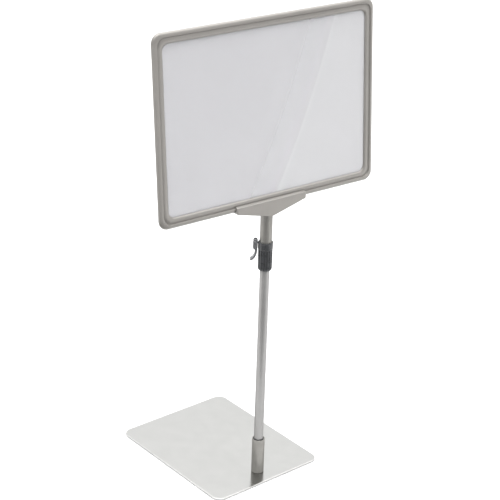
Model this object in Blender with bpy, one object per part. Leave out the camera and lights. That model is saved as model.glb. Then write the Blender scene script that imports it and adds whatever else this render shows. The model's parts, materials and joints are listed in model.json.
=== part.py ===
"""Table-top sign stand: a steel plate on the table, a thin mast, and a landscape A4 sign frame on a
short sliding tube that a cam lever clamps to the mast.

Metres, +Z up, the front faces -Y. The origin is the middle of the base plate's footprint, on the
surface that the stand rests on.
"""

import math

import bmesh
import bpy
import numpy as np
from mathutils import Matrix

MM = 0.001
GAP = 0.3 * MM  # clearance between two pieces that touch

# base
PLATE_WIDTH = 170 * MM
PLATE_DEPTH = 210 * MM
PLATE_CORNER = 12 * MM
PLATE_BOTTOM = 0.7 * MM
PLATE_THICKNESS = 2.0 * MM
PLATE_TOP = PLATE_BOTTOM + PLATE_THICKNESS
PAD_RADIUS = 7 * MM
PAD_INSET = 17 * MM
MAST_FROM_FRONT = 25 * MM
MAST_Y = MAST_FROM_FRONT - PLATE_DEPTH / 2

# socket, mast and upper tube
SOCKET_RADIUS = 8.15 * MM
SOCKET_BORE = 7.05 * MM
SOCKET_TOP = 52.5 * MM
PLUG_TOP = 9.1 * MM
SCREW_HEAD_RADIUS = 4.6 * MM
SCREW_SHANK_RADIUS = 2.2 * MM
BUSH_BOTTOM = 36 * MM
BUSH_FLANGE = 6.8 * MM
MAST_RADIUS = 6.0 * MM
MAST_WALL = 1.0 * MM
MAST_BOTTOM = 10.8 * MM
MAST_TOP = 373 * MM
MAST_FOOT_BOTTOM = 9.5 * MM
MAST_FOOT_PLUG_TOP = 20 * MM
MAST_GUIDE_LENGTH = 10 * MM
TUBE_RADIUS = 7.5 * MM
TUBE_WALL = 1.0 * MM
TUBE_BOTTOM = 302.3 * MM
TUBE_TOP = 379.5 * MM

# clamp collar
COLLAR_BOTTOM = 293 * MM
COLLAR_CHAMFER = 2.6 * MM
COLLAR_SHOULDER = 302 * MM
COLLAR_RING_BOTTOM = 322 * MM
COLLAR_TOP = 331 * MM
COLLAR_RADIUS = 8.8 * MM
COLLAR_RING_RADIUS = 9.3 * MM
COLLAR_RIBS = 16
COLLAR_FLUTE = 0.9 * MM

# cam lever: it hangs from a lug on the collar's ring, behind and to the left of the mast
LEVER_ANGLE = math.radians(142.5)
LEVER_REACH = 12.5 * MM
LEVER_HEIGHT = 331.4 * MM
LEVER_HEAD = 2.8 * MM
LEVER_WIDTH = 8.0 * MM
LEVER_SLOT_FOOT = -4.1 * MM
LUG_WIDTH = 3.0 * MM
LUG_EYE_RADIUS = 2.0 * MM
PIN_RADIUS = 0.9 * MM
PIN_HEAD_RADIUS = 1.5 * MM
PIN_HEAD_HEIGHT = 0.5 * MM
PLUNGER_RADIUS = 1.9 * MM
PLUNGER_HEIGHT = 325.8 * MM

# sign frame: the head is turned a little on the mast, and the frame leans back and stands a little to
# the right of the middle of its saddle
HEAD_SWIVEL = math.radians(-3.3)
SIGN_LEAN = math.radians(4.6)
SIGN_FORWARD = 7.5 * MM
SIGN_BOTTOM = 382.2 * MM
FRAME_OFFSET = 1.0 * MM
FRAME_WIDTH = 316 * MM
FRAME_HEIGHT = 228 * MM
FRAME_DEPTH = 7.0 * MM
FRAME_BORDER = 13.0 * MM
FRAME_CORNER = 11.5 * MM
WINDOW_CORNER = 8.5 * MM
GROOVE_INSET = 6.5 * MM
GROOVE_CORNER = 1.0 * MM
GROOVE_WIDTH = 1.8 * MM
SLOT_WIDTH = 2.0 * MM
SLOT_HALF_LENGTH = 150.2 * MM

# what the frame holds: a folded clear pocket with an A4 card in it
CARD_WIDTH = 297 * MM
CARD_HEIGHT = 210 * MM
CARD_THICKNESS = 0.3 * MM
SHEET_THICKNESS = 0.25 * MM
POCKET_WIDTH = 299 * MM
POCKET_BOTTOM = GROOVE_INSET + GAP
POCKET_HEIGHT = 211.5 * MM
POCKET_DEPTH = 1.2 * MM

# saddle that the frame stands in
SADDLE_HALF_WIDTH = 51.5 * MM
SADDLE_LIP = 6.6 * MM
SADDLE_END = -0.6 * MM
SADDLE_APEX = -14.0 * MM
SADDLE_WALL = 3.0 * MM
BOSS_RADIUS = 9.9 * MM
BOSS_BOTTOM = 369.5 * MM
BOSS_TOP = 381.0 * MM
SADDLE_WEB = 2.0 * MM
SADDLE_SCREW_HEIGHT = 374.5 * MM
SADDLE_SCREW_RADIUS = 1.1 * MM
SADDLE_SCREW_HEAD = 2.4 * MM
SADDLE_SCREW_HEAD_HEIGHT = 1.3 * MM


def linear(srgb):
    """The linear value of one sRGB channel between 0 and 1."""
    return srgb / 12.92 if srgb <= 0.04045 else ((srgb + 0.055) / 1.055) ** 2.4


def material(name, red, green, blue, roughness, metallic=0.0):
    """A plain Principled material from 0 to 255 sRGB values."""
    made = bpy.data.materials.new(name)
    made.use_nodes = True
    shader = made.node_tree.nodes["Principled BSDF"]
    colour = [linear(channel / 255) for channel in (red, green, blue)]
    shader.inputs["Base Color"].default_value = (*colour, 1.0)
    shader.inputs["Roughness"].default_value = roughness
    shader.inputs["Metallic"].default_value = metallic
    return made


def clear_scene():
    """Remove what a new scene starts with."""
    for thing in list(bpy.data.objects):
        bpy.data.objects.remove(thing)


def empty(name, location, rotation=(0, 0, 0), parent=None):
    """A joint or assembly reference: it carries pieces and is no piece itself."""
    made = bpy.data.objects.new(name, None)
    bpy.context.collection.objects.link(made)
    made.location = location
    made.rotation_euler = rotation
    made.parent = parent
    return made


def piece(name, shape, finish, location=(0, 0, 0), parent=None, smooth=True):
    """Turn a bmesh into a named object with its own material."""
    bmesh.ops.recalc_face_normals(shape, faces=shape.faces)
    mesh = bpy.data.meshes.new(name)
    shape.to_mesh(mesh)
    shape.free()
    if finish:
        mesh.materials.append(finish)
    made = bpy.data.objects.new(name, mesh)
    bpy.context.collection.objects.link(made)
    made.location = location
    made.parent = parent
    if smooth:
        mesh.shade_smooth()
        mesh.set_sharp_from_angle(angle=math.radians(35))
    return made


def cutter(name, shape, parent=None, location=(0, 0, 0)):
    """A solid that only cuts or joins others."""
    made = piece(name, shape, None, location, parent, smooth=False)
    made.hide_render = True
    made.display_type = "WIRE"
    return made


def combine(target, tool, operation="DIFFERENCE"):
    """Cut the tool from the target, or join it on."""
    step = target.modifiers.new(tool.name, "BOOLEAN")
    step.operation = operation
    step.solver = "EXACT"
    step.object = tool


def turned(outline, steps=40):
    """A closed (radius, height) outline turned about Z. A radius of 0 closes on the axis."""
    shape = bmesh.new()
    angles = np.arange(steps) * 2 * math.pi / steps
    rings = []
    for radius, height in outline:
        if radius <= 0:
            rings.append([shape.verts.new((0, 0, height))])
        else:
            circle = [(radius * math.cos(a), radius * math.sin(a), height) for a in angles]
            rings.append([shape.verts.new(place) for place in circle])
    for first, second in zip(rings, rings[1:] + rings[:1]):
        for k in range(steps):
            following = (k + 1) % steps
            if len(first) == 1 and len(second) == 1:
                continue
            if len(first) == 1:
                shape.faces.new((first[0], second[k], second[following]))
            elif len(second) == 1:
                shape.faces.new((first[k], first[following], second[0]))
            else:
                shape.faces.new((first[k], first[following], second[following], second[k]))
    return shape


def tube_outline(outer, inner, bottom, top):
    """The wall of a plain tube."""
    return [(outer, bottom), (outer, top), (inner, top), (inner, bottom)]


def rod_outline(radius, bottom, top):
    """A plain solid rod."""
    return [(0, bottom), (radius, bottom), (radius, top), (0, top)]


def extruded(outline, low, high, axis="Z"):
    """A flat outline made into a slab from low to high along Z, or along Y for an (x, z) outline."""
    shape = bmesh.new()
    rows = []
    for level in (low, high):
        places = [(a, b, level) if axis == "Z" else (a, level, b) for a, b in outline]
        rows.append([shape.verts.new(place) for place in places])
    shape.faces.new(rows[0])
    shape.faces.new(rows[1])
    for k in range(len(outline)):
        following = (k + 1) % len(outline)
        shape.faces.new((rows[0][k], rows[0][following], rows[1][following], rows[1][k]))
    return shape


def box(low, high):
    """A block between two corners."""
    outline = [(low[0], low[1]), (high[0], low[1]), (high[0], high[1]), (low[0], high[1])]
    return extruded(outline, low[2], high[2])


def arc(centre, radius, start, end, steps):
    """Points along an arc, angles in degrees."""
    angles = np.radians(np.linspace(start, end, steps + 1))
    return [(centre[0] + radius * math.cos(a), centre[1] + radius * math.sin(a)) for a in angles]


def rounded_rectangle(half_width, half_height, radius, steps=8):
    """A rectangle with round corners, about its own middle, anticlockwise."""
    points = []
    for sign_x, sign_y, start in ((1, 1, 0), (-1, 1, 90), (-1, -1, 180), (1, -1, 270)):
        centre = (sign_x * (half_width - radius), sign_y * (half_height - radius))
        points += arc(centre, radius, start, start + 90, steps)
    return points


def rounded_corner(before, corner, after, radius, steps=5):
    """Points that round one corner of a polygon with a curve tangent to both its sides."""
    corner = np.array(corner, float)
    back = np.array(before, float) - corner
    ahead = np.array(after, float) - corner
    start = corner + back / np.linalg.norm(back) * radius
    end = corner + ahead / np.linalg.norm(ahead) * radius
    share = np.linspace(0, 1, steps + 1)[:, None]
    curve = (1 - share) ** 2 * start + 2 * share * (1 - share) * corner + share**2 * end
    return [tuple(point) for point in curve]


def rounded_polygon(corners, steps=5):
    """A polygon from (x, y, radius) corners."""
    points = []
    for k, (x, y, radius) in enumerate(corners):
        before = corners[k - 1][:2]
        after = corners[(k + 1) % len(corners)][:2]
        if radius > 0:
            points += rounded_corner(before, (x, y), after, radius, steps)
        else:
            points.append((x, y))
    return points


def make_base(metal, tube_metal, screw_steel, soft, dark):
    """The plate with its socket, the screw that holds them together, the bush and the pads."""
    outline = rounded_rectangle(PLATE_WIDTH / 2, PLATE_DEPTH / 2, PLATE_CORNER)
    plate = piece("base_plate", extruded(outline, PLATE_BOTTOM, PLATE_TOP), metal)
    head_radius = SCREW_HEAD_RADIUS
    shank_radius = SCREW_SHANK_RADIUS
    head_bottom = PLATE_BOTTOM + 0.1 * MM
    head_top = PLATE_TOP - 0.1 * MM
    sink = [(0, 0), (head_radius + GAP, 0), (head_radius + GAP, head_bottom), (shank_radius + GAP, head_top)]
    sink += [(shank_radius + GAP, PLATE_TOP + GAP), (0, PLATE_TOP + GAP)]
    axis = (0, MAST_Y, 0)
    combine(plate, cutter("countersink_cutter", turned(sink, 32), location=axis))

    plug_bottom = PLATE_TOP + GAP
    shank_top = PLUG_TOP - 2 * GAP
    screw = [(0, head_bottom), (head_radius, head_bottom), (shank_radius, head_top)]
    screw += [(shank_radius, shank_top), (0, shank_top)]
    piece("base_screw", turned(screw, 32), screw_steel, axis)
    plug_radius = SOCKET_BORE - GAP
    plug = tube_outline(plug_radius, shank_radius + GAP, plug_bottom, PLUG_TOP)
    piece("socket_plug", turned(plug, 32), screw_steel, axis)
    edge = 0.5 * MM
    socket = [(SOCKET_RADIUS, plug_bottom), (SOCKET_RADIUS, SOCKET_TOP - edge)]
    socket += [(SOCKET_RADIUS - edge, SOCKET_TOP), (SOCKET_BORE, SOCKET_TOP), (SOCKET_BORE, plug_bottom)]
    piece("socket_tube", turned(socket), tube_metal, axis)

    flange_bottom = SOCKET_TOP + GAP
    flange_top = flange_bottom + 0.4 * MM
    bush_bore = MAST_RADIUS + GAP
    bush_radius = SOCKET_BORE - GAP
    bush = [(bush_radius, BUSH_BOTTOM), (bush_radius, flange_bottom), (BUSH_FLANGE, flange_bottom)]
    bush += [(BUSH_FLANGE, flange_top), (bush_bore, flange_top), (bush_bore, BUSH_BOTTOM)]
    piece("socket_bush", turned(bush), dark, axis)

    place_x = PLATE_WIDTH / 2 - PAD_INSET
    place_y = PLATE_DEPTH / 2 - PAD_INSET
    corners = [(-place_x, -place_y), (place_x, -place_y), (place_x, place_y), (-place_x, place_y)]
    for number, (x, y) in enumerate(corners, 1):
        pad = turned(rod_outline(PAD_RADIUS, 0, PLATE_BOTTOM - GAP), 24)
        piece(f"foot_pad_{number}", pad, soft, (x, y, 0))


def make_mast(mast_axis, metal, dark):
    """The thin mast with the plug in its foot and the guide in its top."""
    bore = MAST_RADIUS - MAST_WALL
    wall = tube_outline(MAST_RADIUS, bore, MAST_BOTTOM, MAST_TOP)
    piece("mast_tube", turned(wall), metal, parent=mast_axis)
    plug_radius = bore - GAP
    flange_bottom = MAST_FOOT_BOTTOM
    flange_top = MAST_BOTTOM - GAP
    foot = [(0, flange_bottom), (MAST_RADIUS, flange_bottom), (MAST_RADIUS, flange_top)]
    foot += [(plug_radius, flange_top), (plug_radius, MAST_FOOT_PLUG_TOP), (0, MAST_FOOT_PLUG_TOP)]
    piece("mast_foot_plug", turned(foot, 32), dark, parent=mast_axis)
    guide_radius = TUBE_RADIUS - TUBE_WALL - GAP
    guide_bottom = MAST_TOP + GAP
    guide_top = TUBE_TOP - GAP
    guide_foot = MAST_TOP - MAST_GUIDE_LENGTH
    guide = [(0, guide_foot), (plug_radius, guide_foot), (plug_radius, guide_bottom)]
    guide += [(guide_radius, guide_bottom), (guide_radius, guide_top), (0, guide_top)]
    piece("mast_top_guide", turned(guide, 32), dark, parent=mast_axis)


def ribbed_ring(shape, radius, height, flute):
    """One ring of collar points: round when flute is 0, else with flat-topped ribs between flutes."""
    points = []
    for k in range(COLLAR_RIBS):
        for part, depth in ((0.05, 0), (0.55, 0), (0.68, flute), (0.92, flute)):
            angle = (k + part) * 2 * math.pi / COLLAR_RIBS
            reach = radius - depth
            points.append(shape.verts.new((reach * math.cos(angle), reach * math.sin(angle), height)))
    return points


def collar_shape():
    """The collar's ribbed body, smooth ring and stepped bore."""
    tube_bore = TUBE_RADIUS + GAP
    mast_bore = MAST_RADIUS + GAP
    rib_bottom = COLLAR_BOTTOM + COLLAR_CHAMFER
    rib_top = COLLAR_RING_BOTTOM
    edge = 0.7 * MM
    outline = [
        (7.0 * MM, COLLAR_BOTTOM, 0),
        (COLLAR_RADIUS, rib_bottom, COLLAR_FLUTE),
        (COLLAR_RADIUS, rib_top, COLLAR_FLUTE),
        (COLLAR_RING_RADIUS, rib_top + edge, 0),
        (COLLAR_RING_RADIUS, COLLAR_TOP - edge, 0),
        (COLLAR_RING_RADIUS - edge, COLLAR_TOP, 0),
        (tube_bore, COLLAR_TOP, 0),
        (tube_bore, COLLAR_SHOULDER, 0),
        (mast_bore, COLLAR_SHOULDER, 0),
        (mast_bore, COLLAR_BOTTOM, 0),
    ]
    shape = bmesh.new()
    rings = [ribbed_ring(shape, *row) for row in outline]
    for first, second in zip(rings, rings[1:] + rings[:1]):
        for k in range(len(first)):
            following = (k + 1) % len(first)
            shape.faces.new((first[k], first[following], second[following], second[k]))
    return shape


def cross_rod(radius, low, high, steps=24):
    """A rod along Y."""
    shape = turned(rod_outline(radius, low, high), steps)
    bmesh.ops.transform(shape, matrix=Matrix.Rotation(math.radians(-90), 4, "X"), verts=shape.verts)
    return shape


def radial_rod(radius, low, high, steps=24):
    """A rod along X."""
    shape = turned(rod_outline(radius, low, high), steps)
    bmesh.ops.transform(shape, matrix=Matrix.Rotation(math.radians(90), 4, "Y"), verts=shape.verts)
    return shape


def lever_outline():
    """Side outline about the pivot, (outwards, up): a long round-ended head and a tail that flares out."""
    centre = [(-1.35, -9.5), (-1.3, -12.5), (-0.5, -16.2), (0.9, -19.8), (2.8, -22.6), (5.2, -24.0)]
    centre = np.array(centre) * MM
    share = np.linspace(0, 1, len(centre))
    fine = np.linspace(0, 1, 11)
    line = np.stack([np.interp(fine, share, centre[:, k]) for k in (0, 1)], axis=1)
    along = np.gradient(line, axis=0)
    along /= np.linalg.norm(along, axis=1)[:, None]
    across = np.stack([-along[:, 1], along[:, 0]], axis=1)
    half = np.linspace(1.4, 1.1, len(fine))[:, None] * MM
    outer = line + across * half
    inner = line - across * half
    bottom = -7.4 * MM
    points = arc((0, 0), LEVER_HEAD, 0, 180, 12)
    points += arc((0, bottom), LEVER_HEAD, 180, 215, 3)
    points += [tuple(point) for point in inner[1:]]
    points += [tuple(line[-1] + along[-1] * 1.1 * MM)]
    points += [tuple(point) for point in outer[:0:-1]]
    points += arc((0, bottom), LEVER_HEAD, 300, 360, 5)
    return points


def make_clamp(head_axis, metal, grey, steel, brass):
    """The upper tube, the collar round its foot, and the cam lever with its pin and plunger."""
    hinge_place = (LEVER_REACH * math.cos(LEVER_ANGLE), LEVER_REACH * math.sin(LEVER_ANGLE), LEVER_HEIGHT)
    hinge = empty("lever_axis", hinge_place, (0, 0, LEVER_ANGLE), head_axis)
    plunger_axis = empty("plunger_axis", (0, 0, PLUNGER_HEIGHT), (0, 0, LEVER_ANGLE), head_axis)

    wall = tube_outline(TUBE_RADIUS, TUBE_RADIUS - TUBE_WALL, TUBE_BOTTOM, TUBE_TOP)
    tube = piece("upper_tube", turned(wall), metal, parent=head_axis)
    collar = piece("clamp_collar", collar_shape(), grey, parent=head_axis)
    window = cutter("plunger_cutter", radial_rod(PLUNGER_RADIUS + GAP, 5 * MM, 14 * MM), plunger_axis)

    inner_end = COLLAR_RING_RADIUS - 0.9 * MM - LEVER_REACH
    neck_low = -3.4 * MM
    neck_high = -LUG_EYE_RADIUS
    lug = [(inner_end, neck_high), (inner_end, neck_low)] + arc((0, 0), LUG_EYE_RADIUS, -70, 150, 12)
    lug_solid = cutter("lug_solid", extruded(lug, -LUG_WIDTH / 2, LUG_WIDTH / 2, "Y"), hinge)
    pin_hole = cutter("pin_hole_cutter", cross_rod(PIN_RADIUS + GAP, -8 * MM, 8 * MM), hinge)
    combine(collar, lug_solid, "UNION")
    combine(collar, window)
    combine(collar, pin_hole)
    combine(tube, window)

    lever_solid = extruded(lever_outline(), -LEVER_WIDTH / 2, LEVER_WIDTH / 2, "Y")
    lever = piece("clamp_lever", lever_solid, grey, parent=hinge)
    half_slot = LUG_WIDTH / 2 + GAP
    slot = box((-6 * MM, -half_slot, LEVER_SLOT_FOOT), (6 * MM, half_slot, 6 * MM))
    combine(lever, cutter("lever_slot_cutter", slot, hinge))
    combine(lever, pin_hole)

    head_start = LEVER_WIDTH / 2 + GAP
    head_end = head_start + PIN_HEAD_HEIGHT
    pin = [(0, -head_end), (PIN_HEAD_RADIUS, -head_end), (PIN_HEAD_RADIUS, -head_start)]
    pin += [(PIN_RADIUS, -head_start), (PIN_RADIUS, head_start), (PIN_HEAD_RADIUS, head_start)]
    pin += [(PIN_HEAD_RADIUS, head_end), (0, head_end)]
    pin_shape = turned(pin, 24)
    bmesh.ops.transform(pin_shape, matrix=Matrix.Rotation(math.radians(-90), 4, "X"), verts=pin_shape.verts)
    piece("lever_pin", pin_shape, steel, parent=hinge)
    plunger = radial_rod(PLUNGER_RADIUS, MAST_RADIUS + GAP, COLLAR_RING_RADIUS)
    piece("clamp_plunger", plunger, brass, parent=plunger_axis)


def saddle_edge(x):
    """Height of the saddle's sloping lower edge at a distance from its middle."""
    slope = (SADDLE_END - SADDLE_APEX) / SADDLE_HALF_WIDTH
    return SADDLE_APEX + slope * abs(x)


def make_saddle(head_axis, sign_plane, grey, steel):
    """The saddle: a channel for the frame's lower rail on a shallow V, with a boss for the tube."""
    half = SADDLE_HALF_WIDTH
    corners = [
        (half, SADDLE_LIP, 1.2 * MM),
        (-half, SADDLE_LIP, 1.2 * MM),
        (-half, SADDLE_END, 3.0 * MM),
        (0, SADDLE_APEX, 6.0 * MM),
        (half, SADDLE_END, 3.0 * MM),
    ]
    front = -GAP - SADDLE_WALL
    back = FRAME_DEPTH + GAP + SADDLE_WALL
    body = extruded(rounded_polygon(corners), front, back, "Y")
    saddle = piece("saddle", body, grey, parent=sign_plane)
    boss = cutter("boss_solid", turned(rod_outline(BOSS_RADIUS, BOSS_BOTTOM, BOSS_TOP)), head_axis)
    combine(saddle, boss, "UNION")
    channel = box((-60 * MM, -GAP, -GAP), (60 * MM, FRAME_DEPTH + GAP, 12 * MM))
    combine(saddle, cutter("channel_cutter", channel, sign_plane))

    web = SADDLE_WEB
    start = BOSS_RADIUS + web
    ceiling = -GAP - web
    floor = saddle_edge(start) + web
    end = start + (ceiling - floor) * half / (SADDLE_END - SADDLE_APEX)
    for side, name in ((1, "right"), (-1, "left")):
        outline = [(side * start, ceiling), (side * start, floor), (side * end, ceiling)]
        hollow = extruded(outline, 0, 20 * MM, "Y")
        combine(saddle, cutter(f"{name}_hollow_cutter", hollow, sign_plane))

    bore = rod_outline(TUBE_RADIUS + GAP, 350 * MM, TUBE_TOP + GAP)
    combine(saddle, cutter("bore_cutter", turned(bore), head_axis))
    screw_axis = empty("saddle_screw_axis", (0, 0, SADDLE_SCREW_HEIGHT), parent=head_axis)
    screw_hole = cutter("screw_hole_cutter", cross_rod(SADDLE_SCREW_RADIUS + GAP, 6 * MM, 14 * MM), screw_axis)
    combine(saddle, screw_hole)
    combine(bpy.data.objects["upper_tube"], screw_hole)
    inner_end = TUBE_RADIUS - TUBE_WALL + 0.1 * MM
    head_start = BOSS_RADIUS + GAP
    head_end = head_start + SADDLE_SCREW_HEAD_HEIGHT
    screw = [(0, inner_end), (SADDLE_SCREW_RADIUS, inner_end), (SADDLE_SCREW_RADIUS, head_start)]
    screw += [(SADDLE_SCREW_HEAD, head_start), (SADDLE_SCREW_HEAD - 0.8 * MM, head_end), (0, head_end)]
    screw_shape = turned(screw, 24)
    bmesh.ops.transform(screw_shape, matrix=Matrix.Rotation(math.radians(-90), 4, "X"), verts=screw_shape.verts)
    piece("saddle_screw", screw_shape, steel, parent=screw_axis)


def frame_half(section):
    """A closed (inset, depth) section carried round the frame. Its last two points are the square groove."""
    shape = bmesh.new()
    loops = []
    for number, (inset, depth) in enumerate(section):
        radius = FRAME_CORNER + (WINDOW_CORNER - FRAME_CORNER) * inset / FRAME_BORDER
        if number >= len(section) - 2:
            radius = GROOVE_CORNER
        outline = rounded_rectangle(FRAME_WIDTH / 2 - inset, FRAME_HEIGHT / 2 - inset, radius)
        middle = FRAME_HEIGHT / 2
        loops.append([shape.verts.new((x, depth, z + middle)) for x, z in outline])
    for first, second in zip(loops, loops[1:] + loops[:1]):
        for k in range(len(first)):
            following = (k + 1) % len(first)
            shape.faces.new((first[k], first[following], second[following], second[k]))
    return shape


def make_frame(frame_plane, grey, clear, paper):
    """Two equal frame halves round a groove, with a slot in the top rail, and the pocket and card."""
    middle = FRAME_DEPTH / 2
    mating = middle - GAP / 2
    groove = middle - GROOVE_WIDTH / 2
    section = [
        (0.0, mating),
        (0.0, 2.9 * MM),
        (0.6 * MM, 1.7 * MM),
        (2.0 * MM, 0.6 * MM),
        (4.4 * MM, 0.0),
        (5.0 * MM, 0.2 * MM),
        (5.5 * MM, 1.5 * MM),
        (6.3 * MM, 1.5 * MM),
        (7.8 * MM, 0.7 * MM),
        (9.8 * MM, 0.4 * MM),
        (12.0 * MM, 0.7 * MM),
        (FRAME_BORDER, 2.0 * MM),
        (FRAME_BORDER, groove),
        (GROOVE_INSET, groove),
        (GROOVE_INSET, mating),
    ]
    mirrored = [(inset, FRAME_DEPTH - depth) for inset, depth in section]
    front = piece("frame_front", frame_half(section), grey, parent=frame_plane)
    back = piece("frame_back", frame_half(mirrored), grey, parent=frame_plane)
    low = (-SLOT_HALF_LENGTH, middle - SLOT_WIDTH / 2, FRAME_HEIGHT - GROOVE_INSET - 0.5 * MM)
    high = (SLOT_HALF_LENGTH, middle + SLOT_WIDTH / 2, FRAME_HEIGHT + 5 * MM)
    slot = cutter("top_slot_cutter", box(low, high), frame_plane)
    combine(front, slot)
    combine(back, slot)

    near = middle - POCKET_DEPTH / 2
    far = middle + POCKET_DEPTH / 2
    sheet = SHEET_THICKNESS
    top = POCKET_BOTTOM + POCKET_HEIGHT
    fold = POCKET_BOTTOM + sheet
    folded = [(near, POCKET_BOTTOM), (far, POCKET_BOTTOM), (far, top), (far - sheet, top)]
    folded += [(far - sheet, fold), (near + sheet, fold), (near + sheet, top), (near, top)]
    pocket = extruded(folded, -POCKET_WIDTH / 2, POCKET_WIDTH / 2)
    turn = Matrix(((0, 0, 1, 0), (1, 0, 0, 0), (0, 1, 0, 0), (0, 0, 0, 1)))
    bmesh.ops.transform(pocket, matrix=turn, verts=pocket.verts)
    piece("sign_pocket", pocket, clear, parent=frame_plane, smooth=False)
    card_bottom = fold + GAP
    card_low = (-CARD_WIDTH / 2, middle - CARD_THICKNESS / 2, card_bottom)
    card_high = (CARD_WIDTH / 2, middle + CARD_THICKNESS / 2, card_bottom + CARD_HEIGHT)
    piece("sign_card", box(card_low, card_high), paper, parent=frame_plane, smooth=False)


def main():
    """Build the stand from the table up."""
    clear_scene()
    metal = material("silver_powder_coat", 205, 205, 203, 0.35)
    tube_grey = material("silver_tube", 176, 175, 171, 0.35)
    moulded = material("grey_moulding", 164, 160, 155, 0.45)
    dark = material("dark_grey_moulding", 78, 78, 80, 0.5)
    steel = material("bright_steel", 170, 172, 175, 0.3, 1.0)
    brass = material("plunger_brass", 180, 150, 90, 0.4, 1.0)
    soft = material("pad_rubber", 70, 70, 72, 0.8)
    clear = material("clear_sheet", 230, 230, 232, 0.1)
    paper = material("blank_card", 216, 215, 219, 0.6)

    mast_axis = empty("mast_axis", (0, MAST_Y, 0))
    head_axis = empty("head_axis", (0, MAST_Y, 0), (0, 0, HEAD_SWIVEL))
    sign_plane = empty("sign_plane", (0, -SIGN_FORWARD, SIGN_BOTTOM), (-SIGN_LEAN, 0, 0), head_axis)
    frame_plane = empty("frame_plane", (FRAME_OFFSET, 0, 0), parent=sign_plane)
    make_base(metal, tube_grey, steel, soft, dark)
    make_mast(mast_axis, tube_grey, dark)
    make_clamp(head_axis, tube_grey, dark, steel, brass)
    make_saddle(head_axis, sign_plane, moulded, steel)
    make_frame(frame_plane, moulded, clear, paper)


main()
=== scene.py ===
# %% [markdown]
# # A table-top sign stand
#
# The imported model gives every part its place, its size and the body that it moves with. This script
# gives each part the surface that the real one has: rolled edges, ribs, moulded profiles and finishes.
# Every new surface is worked out from a few lengths and a rule, so each cell says the rule in words.

import json
import math

import bpy
import numpy as np
from mathutils import Matrix, Vector


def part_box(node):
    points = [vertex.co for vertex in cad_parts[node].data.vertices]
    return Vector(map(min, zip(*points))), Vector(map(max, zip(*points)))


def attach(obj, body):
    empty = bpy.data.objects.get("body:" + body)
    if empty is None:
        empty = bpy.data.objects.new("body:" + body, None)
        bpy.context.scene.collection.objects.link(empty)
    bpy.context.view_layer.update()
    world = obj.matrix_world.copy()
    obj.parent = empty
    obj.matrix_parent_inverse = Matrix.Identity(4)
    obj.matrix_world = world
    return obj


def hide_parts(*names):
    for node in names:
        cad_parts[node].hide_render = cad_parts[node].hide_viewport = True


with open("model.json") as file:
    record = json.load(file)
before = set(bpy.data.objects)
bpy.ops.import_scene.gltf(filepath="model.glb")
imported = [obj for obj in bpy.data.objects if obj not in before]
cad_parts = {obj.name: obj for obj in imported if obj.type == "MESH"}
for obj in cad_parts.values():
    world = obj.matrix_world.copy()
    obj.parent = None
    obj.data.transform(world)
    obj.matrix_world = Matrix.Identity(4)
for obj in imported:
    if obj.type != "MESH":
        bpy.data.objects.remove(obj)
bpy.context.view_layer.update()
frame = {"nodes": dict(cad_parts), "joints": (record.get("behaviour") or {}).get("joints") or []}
MM = 0.001

# %% [markdown]
# ## Where things are
#
# The mast's axis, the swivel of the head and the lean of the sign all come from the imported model: the
# mast tube's box gives the axis, and the slide of the pocket gives the sign's own up direction. The
# swivel is the turn of that direction seen from above, and the lean is its angle from the vertical. The
# frame stands a millimetre to one side of the saddle's middle.

# %% Axes of the head, the sign and the lever
joints = {joint["name"]: joint for joint in frame["joints"]}
mast_low, mast_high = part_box("mast_tube")
MAST_Y = (mast_low[1] + mast_high[1]) / 2
sign_up = Vector(joints["pocket_lift"]["axis"])
HEAD_SWIVEL = -math.atan2(sign_up.x, sign_up.y)
SIGN_LEAN = math.acos(sign_up.z)
lever_pin = Vector(joints["lever_release"]["pos_m"])
lever_side = Vector(joints["lever_release"]["axis"])

MAST = Matrix.Translation((0, MAST_Y, 0))
HEAD = MAST @ Matrix.Rotation(HEAD_SWIVEL, 4, "Z")
SIGN_FORWARD = 7.5 * MM
SIGN_BOTTOM = 382.2 * MM
SIGN = HEAD @ Matrix.Translation((0, -SIGN_FORWARD, SIGN_BOTTOM)) @ Matrix.Rotation(-SIGN_LEAN, 4, "X")
FRAME_OFFSET = 1.0 * MM
FRAME = SIGN @ Matrix.Translation((FRAME_OFFSET, 0, 0))
LEVER_ANGLE = math.atan2(lever_side.x, -lever_side.y)
LEVER = Matrix.Translation(lever_pin) @ Matrix.Rotation(LEVER_ANGLE, 4, "Z")
print("swivel", round(math.degrees(HEAD_SWIVEL), 2), "lean", round(math.degrees(SIGN_LEAN), 2))
print("lever at", round(math.degrees(LEVER_ANGLE), 2))

# %% [markdown]
# ## One rule for every surface
#
# Each piece here is a stack of closed rings with the same number of points, joined ring to ring. The
# stack either closes on itself, as a tube's wall does, or ends in two flat caps. Turned parts, slabs,
# swept rails and mouldings differ only in how their rings are worked out, so one function joins them
# all, and turns the faces outwards by the sign of the volume that they enclose.


# %% Rings to a closed surface
def loft(rings, wrap=False):
    """Join closed rings, an array of ring by point by xyz, into one closed surface."""
    rings = np.asarray(rings, float)
    count, columns = rings.shape[:2]
    index = np.arange(count * columns).reshape(count, columns)
    first = index if wrap else index[:-1]
    second = np.roll(index, -1, axis=0) if wrap else index[1:]
    corners = [first, np.roll(first, -1, axis=1), np.roll(second, -1, axis=1), second]
    faces = np.stack(corners, axis=-1).reshape(-1, 4).tolist()
    if not wrap:
        faces.append(index[0, ::-1].tolist())
        faces.append(index[-1].tolist())
    points = rings.reshape(-1, 3)
    return (points, faces) if volume(points, faces) > 0 else (points, [face[::-1] for face in faces])


def volume(points, faces):
    """Signed volume under a closed surface: the sum of its tetrahedra to the first point."""
    total = 0.0
    for face in faces:
        corners = points[face] - points[0]
        fans = np.cross(corners[1:-1], corners[2:])
        total += float((fans @ corners[0]).sum())
    return total


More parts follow.
